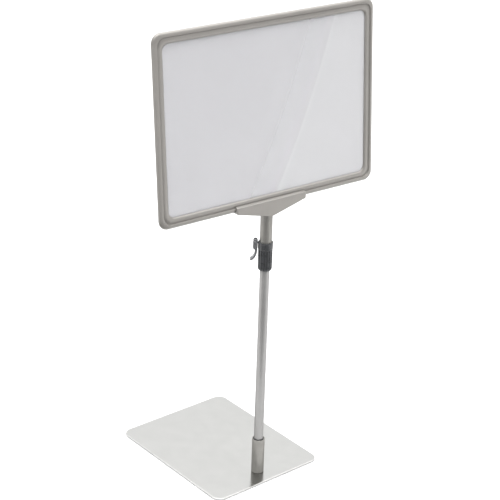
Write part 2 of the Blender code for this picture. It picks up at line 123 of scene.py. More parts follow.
def placed(shape, matrix):
    """Move a shape by a 4 by 4 matrix."""
    points, faces = shape
    turn = np.array(matrix.to_3x3())
    return points @ turn.T + np.array(matrix.translation), faces


def joined(*shapes):
    """Several closed surfaces as one shape."""
    points, faces = [], []
    start = 0
    for more_points, more_faces in shapes:
        points.append(more_points)
        faces += [[k + start for k in face] for face in more_faces]
        start += len(more_points)
    return np.concatenate(points), faces


def piece(name, shape, body, finish, stands_for=(), sharp=32):
    """Make a shape into an object that rides on a body and stands for CAD nodes."""
    points, faces = shape
    mesh = bpy.data.meshes.new(name)
    mesh.from_pydata(points.tolist(), [], faces)
    mesh.materials.append(MATERIALS[finish])
    mesh.shade_smooth()
    mesh.set_sharp_from_angle(angle=math.radians(sharp))
    made = bpy.data.objects.new(name, mesh)
    bpy.context.scene.collection.objects.link(made)
    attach(made, body)
    if stands_for:
        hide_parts(*stands_for)
    print(name, "faces", len(faces))


# %% [markdown]
# A turned part is an outline of radius against height, carried round the axis. A corner of an outline
# may carry a fillet: the corner is replaced by a short curve that starts and ends on its two sides, the
# quadratic curve that has the corner as its middle control point. A turned part with no bore ends in a
# small flat cap at each end of its axis.


# %% Outlines
TURN_STEPS = 96
SMALL_TURN_STEPS = 48
CAP_RADIUS = 0.5 * MM
SMALL_CAP_RADIUS = 0.2 * MM


def filleted(corners, steps=4, closed=True):
    """Round the corners of an outline of (a, b) or (a, b, fillet) rows."""
    plain = [np.array(corner[:2], float) for corner in corners]
    points = []
    for k, corner in enumerate(corners):
        inner = closed or 0 < k < len(corners) - 1
        if len(corner) < 3 or not inner:
            points.append(plain[k])
            continue
        back = plain[k - 1] - plain[k]
        ahead = plain[(k + 1) % len(plain)] - plain[k]
        start = plain[k] + back / np.linalg.norm(back) * corner[2]
        end = plain[k] + ahead / np.linalg.norm(ahead) * corner[2]
        for share in np.linspace(0, 1, steps + 1):
            points.append((1 - share) ** 2 * start + 2 * share * (1 - share) * plain[k] + share**2 * end)
    return np.array(points)


def smooth_line(points, steps=5, closed=False):
    """A Catmull-Rom curve through points: each span is the cubic set by its four nearest points."""
    points = np.asarray(points, float)
    if closed:
        padded = np.concatenate([points[-1:], points, points[:2]])
    else:
        padded = np.concatenate([2 * points[:1] - points[1:2], points, 2 * points[-1:] - points[-2:-1]])
    made = []
    for k in range(len(padded) - 3):
        a, b, c, d = padded[k : k + 4]
        for share in np.arange(steps) / steps:
            linear = (c - a) * share
            square = (2 * a - 5 * b + 4 * c - d) * share**2
            cube = (3 * b - a - 3 * c + d) * share**3
            made.append(b + (linear + square + cube) / 2)
    if not closed:
        made.append(points[-1])
    return np.array(made)


def turned(outline, steps=TURN_STEPS, wrap=True):
    """Rings of an outline of (radius, height) about Z."""
    angles = np.arange(steps) * 2 * math.pi / steps
    circle = np.stack([np.cos(angles), np.sin(angles), np.zeros(steps)], axis=1)
    rings = [circle * radius + (0, 0, height) for radius, height in outline]
    return loft(rings, wrap)


def tube(outer, inner, bottom, top, edge=0.25 * MM):
    """A tube's wall with small fillets at its four corners."""
    corners = [(outer, bottom, edge), (outer, top, edge), (inner, top, edge), (inner, bottom, edge)]
    return turned(filleted(corners, 3))


def rounded_rectangle(half_width, half_height, radius, corner_steps=12, side_steps=6):
    """A rectangle with round corners as (x, y), with points along its straight sides too."""
    points = []
    for number, (sign_x, sign_y) in enumerate(((1, 1), (-1, 1), (-1, -1), (1, -1))):
        centre = np.array((sign_x * (half_width - radius), sign_y * (half_height - radius)))
        angles = np.radians(90 * number + np.linspace(0, 90, corner_steps + 1))
        arc = centre + radius * np.stack([np.cos(angles), np.sin(angles)], axis=1)
        points += list(arc)
        turn = math.pi / 2 * (number + 1)
        following = ((-1, 1), (-1, -1), (1, -1), (1, 1))[number]
        next_centre = np.array((following[0] * (half_width - radius), following[1] * (half_height - radius)))
        next_start = next_centre + radius * np.array((math.cos(turn), math.sin(turn)))
        for share in np.arange(1, side_steps) / side_steps:
            points.append(arc[-1] * (1 - share) + next_start * share)
    return np.array(points)


def inward(outline, distance):
    """Move each point of a closed anticlockwise outline inwards along its normal."""
    along = np.roll(outline, -1, axis=0) - np.roll(outline, 1, axis=0)
    along /= np.linalg.norm(along, axis=1)[:, None]
    return outline + np.stack([-along[:, 1], along[:, 0]], axis=1) * distance


def slab(outline, low, high, edge, steps=4):
    """A flat outline as a slab along Z whose rims are rounded by a quarter circle of radius edge."""
    rings = []
    angles = np.linspace(0, math.pi / 2, steps + 1)
    lower = [(edge * (1 - math.sin(a)), low + edge * (1 - math.cos(a))) for a in angles]
    upper = [(inset, high + low - level) for inset, level in reversed(lower)]
    for inset, level in lower + upper:
        flat = inward(outline, inset)
        rings.append(np.column_stack([flat, np.full(len(flat), level)]))
    return loft(rings)


def standing(shape):
    """Turn a slab drawn as (x, y) with thickness along Z into (x, z) with thickness along Y."""
    points, faces = shape
    upright = np.stack([points[:, 0], points[:, 2], points[:, 1]], axis=1)
    return upright, [face[::-1] for face in faces]


# %% [markdown]
# ## Finishes
#
# Each finish is built from noise on the object's own coordinates, so a length in metres is a length on
# the part. Colours are written as they look on a screen and are made linear by one function. A bump's
# distance is the real depth of the texture, and its pattern scale is one over its spacing in metres.


# %% Node helpers
def linear(hex_colour):
    """The linear colour of an sRGB colour written as six hex digits."""
    channels = [int(hex_colour[k : k + 2], 16) / 255 for k in (0, 2, 4)]
    return [c / 12.92 if c <= 0.04045 else ((c + 0.055) / 1.055) ** 2.4 for c in channels] + [1.0]


def node(tree, kind, inputs=None, **settings):
    """Add a node, set its own settings, and fill its inputs with values or with other sockets."""
    made = tree.nodes.new(kind)
    for key, value in settings.items():
        setattr(made, key, value)
    for key, value in (inputs or {}).items():
        if isinstance(value, bpy.types.NodeSocket):
            tree.links.new(value, made.inputs[key])
        else:
            made.inputs[key].default_value = value
    return made


def noise(tree, place, spacing, detail=2.0, roughness=0.5):
    """Noise whose blotches are about spacing metres apart."""
    inputs = {"Vector": place, "Scale": 1 / spacing, "Detail": detail, "Roughness": roughness}
    return node(tree, "ShaderNodeTexNoise", inputs).outputs["Fac"]


def spread(tree, source, low, high, start=0.25, end=0.75):
    """Carry a 0 to 1 pattern to the range low to high."""
    inputs = {"Value": source, "From Min": start, "From Max": end, "To Min": low, "To Max": high}
    return node(tree, "ShaderNodeMapRange", inputs).outputs["Result"]


def tinted(tree, source, first, second):
    """A colour between two hex colours by a 0 to 1 pattern."""
    mixed = node(tree, "ShaderNodeMix", {"Factor": source}, data_type="RGBA")
    colours = [socket for socket in mixed.inputs if socket.type == "RGBA"]
    colours[0].default_value = linear(first)
    colours[1].default_value = linear(second)
    return next(socket for socket in mixed.outputs if socket.type == "RGBA")


def stretched(tree, place, scale):
    """Object coordinates stretched by a factor along each axis."""
    return node(tree, "ShaderNodeMapping", {"Vector": place, "Scale": scale}).outputs["Vector"]


def bump(tree, height, depth, below=None):
    """A bump of real depth in metres, on top of another one if there is one."""
    inputs = {"Height": height, "Distance": depth, "Strength": 1.0}
    if below:
        inputs["Normal"] = below
    return node(tree, "ShaderNodeBump", inputs).outputs["Normal"]


def new_finish(name):
    """An empty finish: its tree, its shader and its object coordinates."""
    made = bpy.data.materials.new(name)
    made.use_nodes = True
    tree = made.node_tree
    place = node(tree, "ShaderNodeTexCoord").outputs["Object"]
    return made, tree, tree.nodes["Principled BSDF"], place


def fill(shader, **values):
    """Set a shader's sockets by name, with _ for a space, to values or to other sockets."""
    for key, value in values.items():
        socket = shader.inputs[key.replace("_", " ")]
        if isinstance(value, bpy.types.NodeSocket):
            shader.id_data.links.new(value, socket)
        else:
            socket.default_value = value


# %% [markdown]
# The plate and the socket are steel under a silver-grey powder coat. Such a coat shows a fine orange
# peel about a millimetre across and a few hundredths deep, and its gloss wanders a little.


# %% Powder coat
def powder_coat(name):
    """Silver-grey powder coat on sheet steel."""
    made, tree, shader, place = new_finish(name)
    mottle = noise(tree, place, 18 * MM, 3)
    peel = noise(tree, place, 1.1 * MM, 2)
    grain = noise(tree, place, 0.35 * MM, 1)
    colour = tinted(tree, spread(tree, mottle, 0, 1), "c6c6c4", "cacac8")
    normal = bump(tree, grain, 0.004 * MM, bump(tree, peel, 0.012 * MM))
    rough = spread(tree, noise(tree, place, 30 * MM, 4), 0.15, 0.19)
    fill(shader, Base_Color=colour, Roughness=rough, Normal=normal, Metallic=1.0, Coat_Weight=0.3)
    fill(shader, Coat_Roughness=0.08, IOR=1.5)
    return made


# %% [markdown]
# The tubes are drawn steel under thin silver lacquer. The lacquer keeps the tube's faint drawing lines,
# which run along it and are a fraction of a millimetre apart.


# %% Lacquered tube
def lacquered_tube(name, first, second):
    """Drawn steel tube under thin silver lacquer."""
    made, tree, shader, place = new_finish(name)
    lines = noise(tree, stretched(tree, place, (1, 1, 0.02)), 0.4 * MM, 3)
    cloud = noise(tree, place, 12 * MM, 3)
    colour = tinted(tree, spread(tree, cloud, 0, 1), first, second)
    normal = bump(tree, lines, 0.004 * MM)
    rough = spread(tree, lines, 0.3, 0.38)
    fill(shader, Base_Color=colour, Roughness=rough, Normal=normal, Metallic=0.55, IOR=1.3)
    fill(shader, Specular_Tint=linear("8c8c8c"))
    return made


# %% [markdown]
# The frame and the saddle are moulded in warm grey polystyrene, and the collar, the lever and the small
# plugs in a darker plastic; the lever's copy of it is painted lighter, as painted light for the light that
# falls on the lever from the left. A mould's spark-eroded face leaves a fine even grain, and the plastic's
# flow leaves very faint clouds.


# %% Moulded plastics
def moulded(name, first, second, rough_low, rough_high, grain_depth, sparkle):
    """Injection-moulded plastic with a spark-eroded grain; sparkle is its share of silver pigment."""
    made, tree, shader, place = new_finish(name)
    flow = noise(tree, place, 45 * MM, 3, 0.6)
    grain = noise(tree, place, 0.5 * MM, 1)
    colour = tinted(tree, spread(tree, flow, 0, 1), first, second)
    normal = bump(tree, grain, grain_depth)
    rough = spread(tree, noise(tree, place, 8 * MM, 3), rough_low, rough_high)
    fill(shader, Base_Color=colour, Roughness=rough, Normal=normal, IOR=1.5, Metallic=sparkle)
    return made


# %% [markdown]
# Small hardware: zinc-plated screws and the lever's pin, which are turned and keep fine rings about
# their axis, the plunger's brass, and the pads' foamed rubber with its open pores.


# %% Hardware metals and rubber
def turned_metal(name, first, second, rough_low, rough_high):
    """Turned metal with fine tool marks."""
    made, tree, shader, place = new_finish(name)
    marks = noise(tree, stretched(tree, place, (0.3, 0.3, 1)), 0.12 * MM, 2)
    cloud = noise(tree, place, 2.5 * MM, 3)
    colour = tinted(tree, spread(tree, cloud, 0, 1), first, second)
    normal = bump(tree, marks, 0.003 * MM)
    fill(shader, Base_Color=colour, Roughness=spread(tree, cloud, rough_low, rough_high), Normal=normal)
    fill(shader, Metallic=1.0)
    return made


def pad_rubber(name):
    """Dark foamed rubber with small pores."""
    made, tree, shader, place = new_finish(name)
    inputs = {"Vector": place, "Scale": 1 / (0.45 * MM)}
    pores = node(tree, "ShaderNodeTexVoronoi", inputs).outputs["Distance"]
    # Painted shade: the rubber is darker in the pores, just where the bump makes its pits.
    colour = tinted(tree, spread(tree, pores, 0, 1, 0.1, 0.6), "2b2b2c", "474748")
    normal = bump(tree, pores, 0.03 * MM)
    fill(shader, Base_Color=colour, Roughness=0.85, Normal=normal)
    return made


# %% [markdown]
# The sign itself is a blank white card in a clear folded pocket. The pocket's film is thin, so it is
# almost all clear, with long, shallow waves and a soft gloss that grows towards grazing angles; part of
# that gloss is a painted sheen, the film's pale colour showing more at grazing angles.


# %% Clear film and card
def clear_film(name):
    """Thin clear film: mostly see-through, with the gloss of its two faces and a painted sheen of pale colour
    towards grazing angles.
    """
    made, tree, shader, place = new_finish(name)
    waves = noise(tree, place, 60 * MM, 1)
    facing = node(tree, "ShaderNodeLayerWeight", {"Blend": 0.35}).outputs["Fresnel"]
    # Painted sheen: the film's pale colour covers more of it towards grazing angles.
    painted_sheen_cover = spread(tree, facing, 0.14, 0.6, 0.0, 1.0)
    normal = bump(tree, waves, 0.015 * MM)
    fill(shader, Base_Color=linear("dededf"), Roughness=0.35, Normal=normal, Alpha=painted_sheen_cover, IOR=1.5)
    return made


def card_stock(name):
    """Uncoated white card with a faint felt of fibres."""
    made, tree, shader, place = new_finish(name)
    felt = noise(tree, stretched(tree, place, (1, 1, 0.5)), 0.5 * MM, 4, 0.65)
    cloud = noise(tree, place, 90 * MM, 2)
    colour = tinted(tree, spread(tree, cloud, 0, 1), "d2d1d5", "d5d4d8")
    normal = bump(tree, felt, 0.01 * MM)
    fill(shader, Base_Color=colour, Roughness=0.55, Normal=normal)
    return made


MATERIALS = {
    "silver_powder_coat": powder_coat("silver_powder_coat"),
    "silver_tube": lacquered_tube("silver_tube", "9b9a99", "a09f9e"),
    "bare_tube": lacquered_tube("bare_tube", "8a8884", "908e8a"),
    "grey_moulding": moulded("grey_moulding", "85827e", "8b8884", 0.3, 0.36, 0.003 * MM, 0.4),
    "dark_grey_moulding": moulded("dark_grey_moulding", "3a3b3d", "424345", 0.24, 0.32, 0.006 * MM, 0.15),
    # The lever's plastic is the collar's dark plastic painted lighter: painted light from the left side.
    "lit_lever_moulding": moulded("lit_lever_moulding", "646567", "6c6d6f", 0.24, 0.32, 0.006 * MM, 0.15),
    "bright_steel": turned_metal("bright_steel", "a9abad", "bcbec0", 0.22, 0.34),
    "plunger_brass": turned_metal("plunger_brass", "b1904f", "c2a25e", 0.3, 0.4),
    "pad_rubber": pad_rubber("pad_rubber"),
    "clear_sheet": clear_film("clear_sheet"),
    "blank_card": card_stock("blank_card"),
}
print("finishes", len(MATERIALS))

# %% [markdown]
# ## The base plate
#
# The plate is punched from 2 mm sheet, so its upper rim is rolled over a little and its lower rim is
# crisper. A ring of the plate is a rounded rectangle at some inset and height. The rings run from the
# countersunk hole under the mast, out along the underside, round the rim and back in over the top.

# %% Plate with its rolled rim
plate_low, plate_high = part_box("base_plate")
half_width, half_depth = plate_high[0], plate_high[1]
PLATE_CORNER = 12 * MM
HOLE_MOUTH = 4.9 * MM
HOLE_BORE = 2.5 * MM
RIM_WIDTH = 3 * MM


def plate_ring(inset, level):
    """The plate's outline at an inset and a height."""
    flat = rounded_rectangle(half_width - inset, half_depth - inset, PLATE_CORNER - inset)
    return np.column_stack([flat, np.full(len(flat), level)])


def hole_ring(radius, level):
    """A circle about the mast whose points face the matching points of the plate's outline."""
    flat = rounded_rectangle(half_width, half_depth, PLATE_CORNER) - (0, MAST_Y)
    angles = np.arctan2(flat[:, 1], flat[:, 0])
    x, y = radius * np.cos(angles), MAST_Y + radius * np.sin(angles)
    return np.column_stack([x, y, np.full(len(flat), level)])


bottom, top = plate_low[2], plate_high[2]
rim = [(RIM_WIDTH, bottom), (0, bottom, 0.3 * MM), (0, top, 0.4 * MM), (RIM_WIDTH, top)]
rim = filleted(rim, 5, closed=False)
rings = [hole_ring(HOLE_BORE, top), hole_ring(HOLE_BORE, top - 0.1 * MM)]
rings += [hole_ring(HOLE_MOUTH, bottom + 0.05 * MM), hole_ring(HOLE_MOUTH + 0.2 * MM, bottom)]
rings += [plate_ring(inset, level) for inset, level in rim]
piece("plate", loft(rings, wrap=True), "base", "silver_powder_coat", ["base_plate"])

# %% [markdown]
# Four thin pads keep the plate off the table. Each is a disc with a soft rim.

# %% Pads
for number in (1, 2, 3, 4):
    low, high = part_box(f"foot_pad_{number}")
    radius = (high[0] - low[0]) / 2
    side = [(CAP_RADIUS, 0), (radius, 0, 0.3 * MM), (radius, high[2], 0.15 * MM), (CAP_RADIUS, high[2])]
    disc = turned(filleted(side, 3, closed=False), wrap=False)
    centre = Matrix.Translation(((low[0] + high[0]) / 2, (low[1] + high[1]) / 2, 0))
    piece(f"pad_{number}", placed(disc, centre), "base", "pad_rubber", [f"foot_pad_{number}"])

# %% [markdown]
# ## Socket, bush and screw
#
# The socket is a short tube that the screw pulls down on the plate. Its mouth is chamfered and holds a
# dark bush, whose thin flange shows as a ring round the mast. The screw is countersunk, with a hexagon
# recess: its rings turn from a circle into a hexagon by taking, at each angle, the distance to the
# hexagon's side.


# %% Screws with a hexagon recess
def hexagon_ring(size, level):
    """A hexagon of half width across flats size: radius = size / cos(angle from the nearest flat)."""
    angles = np.arange(TURN_STEPS) * 2 * math.pi / TURN_STEPS
    off = (angles + math.pi / 6) % (math.pi / 3) - math.pi / 6
    radius = size / np.cos(off)
    return np.column_stack([radius * np.cos(angles), radius * np.sin(angles), np.full(TURN_STEPS, level)])


def screw(outline, face, socket, depth):
    """A turned screw whose head face at a height has a hexagon recess; depth runs into the screw."""
    angles = np.arange(TURN_STEPS) * 2 * math.pi / TURN_STEPS
    circle = np.stack([np.cos(angles), np.sin(angles), np.zeros(TURN_STEPS)], axis=1)
    rings = [hexagon_ring(socket, face + depth), hexagon_ring(socket, face)]
    rings += [circle * radius + (0, 0, level) for radius, level in outline]
    return loft(rings)


SOCKET_WALL = 1.1 * MM
SOCKET_EDGE = 0.5 * MM
BUSH_BORE, BUSH_BODY, BUSH_FLANGE = 6.3 * MM, 6.7 * MM, 6.8 * MM
FLANGE_HEIGHT = 0.4 * MM
SCREW_FACE, SCREW_HEAD, SCREW_SHANK, SCREW_TIP = 4.4 * MM, 4.6 * MM, 2.2 * MM, 1.7 * MM
SCREW_RECESS = 1.6 * MM
PLUG_BORE = 2.5 * MM
low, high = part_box("socket_tube")
socket_radius = (high[0] - low[0]) / 2
socket = tube(socket_radius, socket_radius - SOCKET_WALL, low[2], high[2], SOCKET_EDGE)
piece("socket", placed(socket, MAST), "base", "bare_tube", ["socket_tube"])
low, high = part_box("socket_bush")
flange = high[2] - FLANGE_HEIGHT
bush = [(BUSH_BORE, low[2]), (BUSH_BODY, low[2], 0.2 * MM), (BUSH_BODY, flange), (BUSH_FLANGE, flange)]
bush += [(BUSH_FLANGE, high[2], 0.15 * MM), (BUSH_BORE, high[2], 0.1 * MM)]
piece("bush", placed(turned(filleted(bush)), MAST), "base", "dark_grey_moulding", ["socket_bush"])
low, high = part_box("base_screw")
head = [(SCREW_FACE, low[2]), (SCREW_HEAD, low[2] + 0.15 * MM), (SCREW_SHANK, plate_high[2] - 0.1 * MM)]
head += [(SCREW_SHANK, high[2] - 0.5 * MM), (SCREW_TIP, high[2])]
plate_screw = screw(head, low[2], SCREW_RECESS, SCREW_RECESS)
piece("plate_screw", placed(plate_screw, MAST), "base", "bright_steel", ["base_screw"])
low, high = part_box("socket_plug")
plug = tube(high[0], PLUG_BORE, low[2], high[2], 0.3 * MM)
piece("threaded_plug", placed(plug, MAST), "base", "bright_steel", ["socket_plug"])

# %% [markdown]
# ## Mast and upper tube
#
# Both tubes are cut square and lightly deburred. The mast has a plug in its foot, which it turns on,
# and a guide in its top, which runs inside the upper tube.

# %% Tubes and their plugs
TUBE_WALL = 1.0 * MM
PLUG_INSET = 1.3 * MM
END_GAP = 0.3 * MM
mast_radius = (mast_high[0] - mast_low[0]) / 2
mast = tube(mast_radius, mast_radius - TUBE_WALL, mast_low[2], mast_high[2])
piece("mast", placed(mast, MAST), "mast", "silver_tube", ["mast_tube"])
low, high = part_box("mast_foot_plug")
plug_radius = mast_radius - PLUG_INSET
foot = [(CAP_RADIUS, low[2]), (mast_radius, low[2], 0.3 * MM), (mast_radius, mast_low[2] - END_GAP)]
foot += [(plug_radius, mast_low[2] - END_GAP), (plug_radius, high[2], 0.4 * MM), (CAP_RADIUS, high[2])]
foot_plug = turned(filleted(foot, closed=False), wrap=False)
piece("mast_foot", placed(foot_plug, MAST), "mast", "dark_grey_moulding", ["mast_foot_plug"])
low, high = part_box("mast_top_guide")
guide_radius = (high[0] - low[0]) / 2
guide = [(CAP_RADIUS, low[2]), (plug_radius, low[2], 0.4 * MM), (plug_radius, mast_high[2] + END_GAP)]
guide += [(guide_radius, mast_high[2] + END_GAP), (guide_radius, high[2], 0.5 * MM), (CAP_RADIUS, high[2])]
top_guide = turned(filleted(guide, closed=False), wrap=False)
piece("mast_guide", placed(top_guide, MAST), "mast", "dark_grey_moulding", ["mast_top_guide"])
low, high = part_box("upper_tube")
tube_radius = (high[0] - low[0]) / 2
sleeve = tube(tube_radius, tube_radius - TUBE_WALL, low[2], high[2])
piece("sliding_tube", placed(sleeve, MAST), "head", "bare_tube", ["upper_tube"])

# %% [markdown]
# ## Clamp collar
#
# The collar is turned from the same rule as the tubes, except that the radius of its body also depends
# on the angle: sixteen flat-topped ribs with round flutes between them. The flute's depth follows a
# raised cosine of the angle, cut off at the top of each rib, and fades out into the smooth ring above
# and the chamfer below.

# %% Ribbed collar
COLLAR_RIBS = 16
COLLAR_STEPS = COLLAR_RIBS * 16


def collar_ring(radius, level, flute):
    """One ring of the collar: a circle less the flutes at their depth."""
    angles = np.arange(COLLAR_STEPS) * 2 * math.pi / COLLAR_STEPS
    wave = 0.5 + 0.5 * np.cos(angles * COLLAR_RIBS)
    cut = np.clip((wave - 0.35) / 0.65, 0, 1)
    reach = radius - flute * np.sqrt(cut)
    return np.column_stack([reach * np.cos(angles), reach * np.sin(angles), np.full(COLLAR_STEPS, level)])


collar = [
    (6.3, 293.0, 0), (6.7, 293.0, 0), (7.0, 293.1, 0), (7.7, 293.7, 0.1), (8.3, 294.5, 0.5),
    (8.7, 295.3, 0.9), (8.8, 296.1, 1.0), (8.8, 303.0, 1.0), (8.8, 312.0, 1.0), (8.8, 320.4, 1.0),
    (8.8, 321.0, 0.8), (8.8, 321.5, 0.25), (8.85, 321.8, 0), (9.1, 321.9, 0), (9.25, 322.15, 0),
    (9.3, 322.5, 0), (9.3, 329.6, 0), (9.22, 330.3, 0), (8.95, 330.75, 0), (8.5, 330.95, 0),
    (8.1, 331.0, 0), (7.95, 330.9, 0), (7.8, 330.6, 0), (7.8, 302.0, 0), (6.3, 302.0, 0),
]
collar_rings = [collar_ring(radius * MM, level * MM, flute * MM) for radius, level, flute in collar]
collar_body = placed(loft(collar_rings, wrap=True), HEAD)

# %% [markdown]
# A lug on the ring's side carries the lever. Its side view is a neck that leaves the ring and ends in an
# eye round the pin, and it fills the slot between the lever's two cheeks.

# %% Lug for the lever
LUG_HALF = 1.45 * MM
EYE_RADIUS = 2.0 * MM
eye_angles = np.radians(np.linspace(-70, 150, 24))
eye = [(EYE_RADIUS * math.cos(a), EYE_RADIUS * math.sin(a)) for a in eye_angles]
neck = np.array([(-4.0 * MM, -2.0 * MM), (-4.0 * MM, -3.4 * MM)] + eye)
lug = placed(standing(slab(neck, -LUG_HALF, LUG_HALF, 0.25 * MM)), LEVER)
piece("collar", joined(collar_body, lug), "head", "dark_grey_moulding", ["clamp_collar"])

# %% [markdown]
# ## Cam lever
#
# The lever's side view is a long round-ended head with a thin tail that first follows the collar and
# then flares outwards for the finger. The tail's centre line is a smooth curve, and its two sides lie
# half a thickness either side of it. Both cheeks of the head are dished a little inside a rim.


# %% Lever outline and slabs
LEVER_HEAD = 2.8 * MM
LEVER_HEAD_FOOT = -7.4 * MM
LEVER_SLOT_FOOT = -4.1 * MM
LEVER_TIP = 1.0 * MM
TAIL_LINE = [(-1.3, -9.5), (-1.25, -12.5), (-0.5, -16.2), (0.9, -19.8), (2.8, -22.6), (5.2, -24.0)]


def arc_points(centre, radius, start, end, count):
    """Points on an arc, angles in degrees."""
    angles = np.radians(np.linspace(start, end, count))
    return [(centre[0] + radius * math.cos(a), centre[1] + radius * math.sin(a)) for a in angles]


def lever_outline():
    """The lever's side view about its pin, anticlockwise, as (outwards, up)."""
    line = smooth_line(np.array(TAIL_LINE) * MM, 4)
    along = np.gradient(line, axis=0)
    along /= np.linalg.norm(along, axis=1)[:, None]
    across = np.stack([-along[:, 1], along[:, 0]], axis=1)
    half = np.linspace(1.4, 1.0, len(line))[:, None] * MM
    outer, inner = line + across * half, line - across * half
    points = arc_points((0, 0), LEVER_HEAD, 0, 180, 20)
    points += arc_points((0, LEVER_HEAD_FOOT), LEVER_HEAD, 180, 212, 5)
    points += list(inner[2:])
    tip = line[-1]
    heading = math.degrees(math.atan2(along[-1, 1], along[-1, 0]))
    points += arc_points(tip, LEVER_TIP, heading - 70, heading + 70, 7)
    points += list(outer[:1:-1])
    points += arc_points((0, LEVER_HEAD_FOOT), LEVER_HEAD, 305, 360, 6)
    return np.array(points)


def dished_cheek(outline, low, high, outward):
    """A slab with a shallow dish inside a rim on the face that looks outwards along Z."""
    levels = [(0.0, 0.35), (0.1, 0.1), (0.35, 0.0), (0.75, 0.0), (0.95, 0.1), (1.05, 0.35)]
    face = high if outward > 0 else low
    far = low if outward > 0 else high
    rings = [np.column_stack([outline, np.full(len(outline), far)])]
    for inset, depth in levels:
        flat = inward(outline, inset * MM)
        rings.append(np.column_stack([flat, np.full(len(flat), face - outward * depth * MM)]))
    return loft(rings)


side_view = lever_outline()
CHEEK_IN, CHEEK_OUT = 1.8 * MM, 4.0 * MM
CORE_OVERLAP = 0.2 * MM
cheeks = [dished_cheek(side_view, CHEEK_IN, CHEEK_OUT, 1), dished_cheek(side_view, -CHEEK_OUT, -CHEEK_IN, -1)]
core = inward(side_view[side_view[:, 1] < LEVER_SLOT_FOOT], 0.15 * MM)
middle = slab(core, -CHEEK_IN - CORE_OVERLAP, CHEEK_IN + CORE_OVERLAP, 0.1 * MM)
lever = joined(*[placed(standing(part), LEVER) for part in (*cheeks, middle)])
piece("lever", lever, "lever", "lit_lever_moulding", ["clamp_lever"])

# %% [markdown]
# The pin has a low domed head at each side, and the plunger is a short brass rod between the lever and
# the mast, in a hole through the collar and the upper tube.

# %% Pin and plunger
pin = [
    (0.2, -4.8), (1.0, -4.8), (1.35, -4.65), (1.5, -4.3), (0.9, -4.3),
    (0.9, 4.3), (1.5, 4.3), (1.35, 4.65), (1.0, 4.8), (0.2, 4.8),
]
pin_shape = turned(np.array(pin) * MM, SMALL_TURN_STEPS, wrap=False)
across = Matrix.Rotation(math.radians(90), 4, "X")
piece("pin", placed(placed(pin_shape, across), LEVER), "head", "bright_steel", ["lever_pin"], 40)
ROD_RADIUS, ROD_INNER, ROD_OUTER, ROD_EDGE = 1.9 * MM, 6.3 * MM, 9.3 * MM, 0.2 * MM
rod_side = [(SMALL_CAP_RADIUS, ROD_INNER), (ROD_RADIUS, ROD_INNER, ROD_EDGE)]
rod_side += [(ROD_RADIUS, ROD_OUTER, ROD_EDGE), (SMALL_CAP_RADIUS, ROD_OUTER)]
rod = turned(filleted(rod_side, 3, closed=False), SMALL_TURN_STEPS, wrap=False)
low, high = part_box("clamp_plunger")
plunger_place = MAST @ Matrix.Translation((0, 0, (low[2] + high[2]) / 2))
plunger_place = plunger_place @ Matrix.Rotation(LEVER_ANGLE, 4, "Z")
plunger_place = plunger_place @ Matrix.Rotation(math.radians(90), 4, "Y")
piece("plunger", placed(rod, plunger_place), "head", "plunger_brass", ["clamp_plunger"])

# %% [markdown]
# ## Saddle
#
# The saddle is a moulding with one cross-section that changes along its length. The section has a front
# wall, a channel for the frame's lower rail and a back wall. The front wall hangs down to the sloping
# lower edge, which falls in a straight line from each end to the middle, and it ends above in a thin lip
# that hooks into the frame's groove. All corners of the section are rounded, and the last few
# millimetres at each end pull in along a quarter ellipse.

# %% Saddle section carried along its length
SADDLE_HALF = 51.5 * MM
SADDLE_LIP = 6.6 * MM
SADDLE_END = -1.0 * MM
SADDLE_APEX = -14.0 * MM
SADDLE_WALL = 3.0 * MM
APEX_ROUNDING = 2.0 * MM
END_LENGTH = 2.6 * MM
END_PULL = 1.1 * MM
GAP = 0.3 * MM
FRAME_DEPTH = 7.0 * MM


def lower_edge(x):
    """Height of the saddle's lower edge, rounded over the middle by a hyperbola."""
    slope = (SADDLE_END - SADDLE_APEX) / SADDLE_HALF
    return SADDLE_APEX + slope * (np.sqrt(x * x + APEX_ROUNDING**2) - APEX_ROUNDING)


def saddle_section(x):
    """The channel section at a distance from the middle, as (depth, height) corners with fillets."""
    edge = lower_edge(x)
    ceiling = max(-2.3 * MM, edge)
    front, back = -GAP - SADDLE_WALL, FRAME_DEPTH + GAP + SADDLE_WALL
    drop = min(edge, ceiling - 0.2 * MM)
    bead = 0.9 * MM
    corners = [
        (front, SADDLE_LIP - 0.6 * MM, 1.2 * MM), (front, drop, 0.9 * MM),
        (front + SADDLE_WALL, drop, 0.4 * MM), (front + SADDLE_WALL, ceiling, 0.05 * MM),
        (back, ceiling, 0.4 * MM), (back, SADDLE_LIP, 0.7 * MM),
        (back - SADDLE_WALL, SADDLE_LIP, 0.5 * MM), (back - SADDLE_WALL, -GAP, 0.3 * MM),
        (-GAP, -GAP, 0.3 * MM), (-GAP, SADDLE_LIP - 2.2 * MM, 0.2 * MM),
        (bead, SADDLE_LIP - 1.0 * MM, 0.2 * MM), (0.5 * bead, SADDLE_LIP + 1.1 * MM, 0.15 * MM),
    ]
    return filleted(corners, 4)


def saddle_stations():
    """Places along the saddle, closer together where its ends round off."""
    turn = np.linspace(0, math.pi / 2, 9)
    end = SADDLE_HALF - END_LENGTH * (1 - np.sin(turn))
    inner = np.linspace(0, SADDLE_HALF - END_LENGTH, 22)[1:-1]
    half = np.concatenate([inner, end])
    return np.concatenate([-half[::-1], [0.0], half])


def rounded_end(x, section):
    """Pull a section in towards its own middle near an end, along a quarter ellipse."""
    left = (SADDLE_HALF - abs(x)) / END_LENGTH
    if left >= 1:
        return section
    pull = END_PULL * (1 - math.sqrt(1 - (1 - left) ** 2))
    low, high = section.min(axis=0), section.max(axis=0)
    centre = (low + high) / 2
    half = (high - low) / 2
    return centre + (section - centre) * (half - pull) / half


sections = []
for x in saddle_stations():
    flat = rounded_end(x, saddle_section(x))
    sections.append(np.column_stack([np.full(len(flat), x), flat]))
channel = loft(sections)

